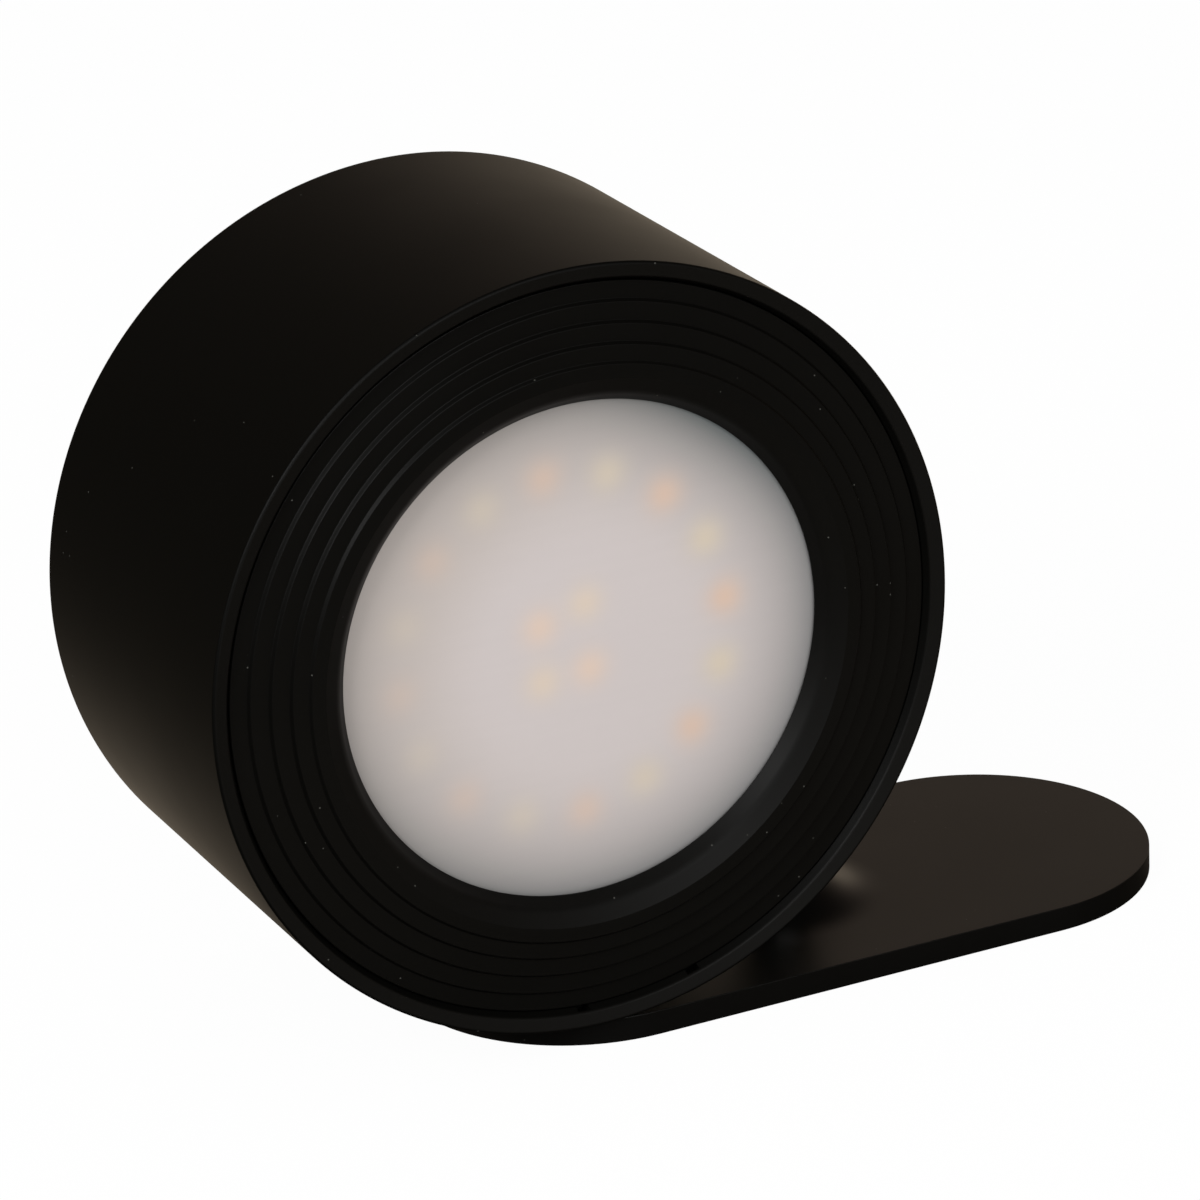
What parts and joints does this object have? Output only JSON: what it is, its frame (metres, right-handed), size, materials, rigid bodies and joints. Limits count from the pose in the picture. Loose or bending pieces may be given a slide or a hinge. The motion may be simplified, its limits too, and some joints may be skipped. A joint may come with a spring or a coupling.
{
  "type": "magnetic led light",
  "caption": "Short round cordless LED light with an opal window and a terraced black bezel, held by a magnetic ball joint on a thin plate with round ends.",
  "frame": {"origin": "centre of the back face of the plate's adhesive pad, which goes against the wall or lies on the shelf", "axes": "+Z out of the wall through the ball's centre, +X along the plate's long axis, -Y the way the lamp's window faces in the stored pose"},
  "size_m": [0.1121, 0.0441, 0.0829],
  "materials": {
    "plate_steel": "satin black coating",
    "pad_foam": "matt foam tape",
    "zinc_steel": "zinc plated",
    "ball_steel": "polished black nickel",
    "blackened_steel": "blackened",
    "housing_shell": "matt black moulding",
    "bezel_shell": "satin black moulding",
    "opal_window": "milky, smooth",
    "white_moulding": "smooth white",
    "white_board": "white solder mask",
    "led_warm": "phosphor under clear resin",
    "led_cool": "phosphor under clear resin",
    "black_screw": "blackened",
    "grey_moulding": "fine matt",
    "battery_sleeve": "blue shrink sleeve over the cell",
    "green_board": "green solder mask",
    "black_chip": "matt",
    "cream_connector": "nylon",
    "clear_pipe": "clear",
    "touch_metal": "brushed",
    "magnet_nickel": "nickel plated",
    "lead_yellow": "smooth insulation",
    "lead_white": "smooth insulation",
    "lead_red": "smooth insulation",
    "lead_black": "smooth insulation"
  },
  "bodies": {
    "plate": {"base_plate": "plate_steel", "adhesive_pad": "pad_foam"},
    "stud": {"ball_stud": "zinc_steel", "stud_washer": "zinc_steel", "stud_nut": "zinc_steel"},
    "ball": {"steel_ball": "ball_steel"},
    "lamp": {"housing": "housing_shell", "front_bezel": "bezel_shell", "diffuser": "opal_window", "reflector_ring": "white_moulding", "led_board": "white_board", "led_warm_01": "led_warm", "led_warm_02": "led_warm", "led_warm_03": "led_warm", "led_warm_04": "led_warm", "led_warm_05": "led_warm", "led_warm_06": "led_warm", "led_warm_07": "led_warm", "led_warm_08": "led_warm", "led_warm_09": "led_warm", "led_warm_10": "led_warm", "led_cool_01": "led_cool", "led_cool_02": "led_cool", "led_cool_03": "led_cool", "led_cool_04": "led_cool", "led_cool_05": "led_cool", "led_cool_06": "led_cool", "led_cool_07": "led_cool", "led_cool_08": "led_cool", "led_cool_09": "led_cool", "led_cool_10": "led_cool", "led_board_screw_1": "black_screw", "led_board_screw_2": "black_screw", "mid_frame_screw_1": "black_screw", "mid_frame_screw_2": "black_screw", "mid_frame_screw_3": "black_screw", "cradle_screw_1": "black_screw", "cradle_screw_2": "black_screw", "board_screw_1": "black_screw", "board_screw_2": "black_screw", "retainer_screw_1": "black_screw", "retainer_screw_2": "black_screw", "mid_frame": "grey_moulding", "battery_cradle": "grey_moulding", "magnet_retainer": "grey_moulding", "battery_cell": "battery_sleeve", "control_board": "green_board", "controller_chip": "black_chip", "lead_connector": "cream_connector", "usb_socket": "zinc_steel", "touch_spring": "zinc_steel", "indicator_light_pipe": "clear_pipe", "touch_plate": "touch_metal", "socket_cup": "blackened_steel", "socket_magnet": "magnet_nickel", "led_lead_warm": "lead_yellow", "led_lead_cool": "lead_white", "battery_lead_positive": "lead_red", "battery_lead_negative": "lead_black"}
  },
  "joints": [
    {"name": "ball_swivel", "type": "hinge", "parent": "plate", "child": "stud", "pos_m": [0, 0, 0.0106], "axis": [0, 0, 1], "continuous": true},
    {"name": "ball_tilt", "type": "hinge", "parent": "stud", "child": "ball", "pos_m": [0, 0, 0.0106], "axis": [0, 1, 0], "range_deg": [0, 85.11]},
    {"name": "lamp_pull_off", "type": "slide", "parent": "ball", "child": "lamp", "axis": [-0.6763, 0, 0.7366], "range_m": [0, 0.015]}
  ]
}
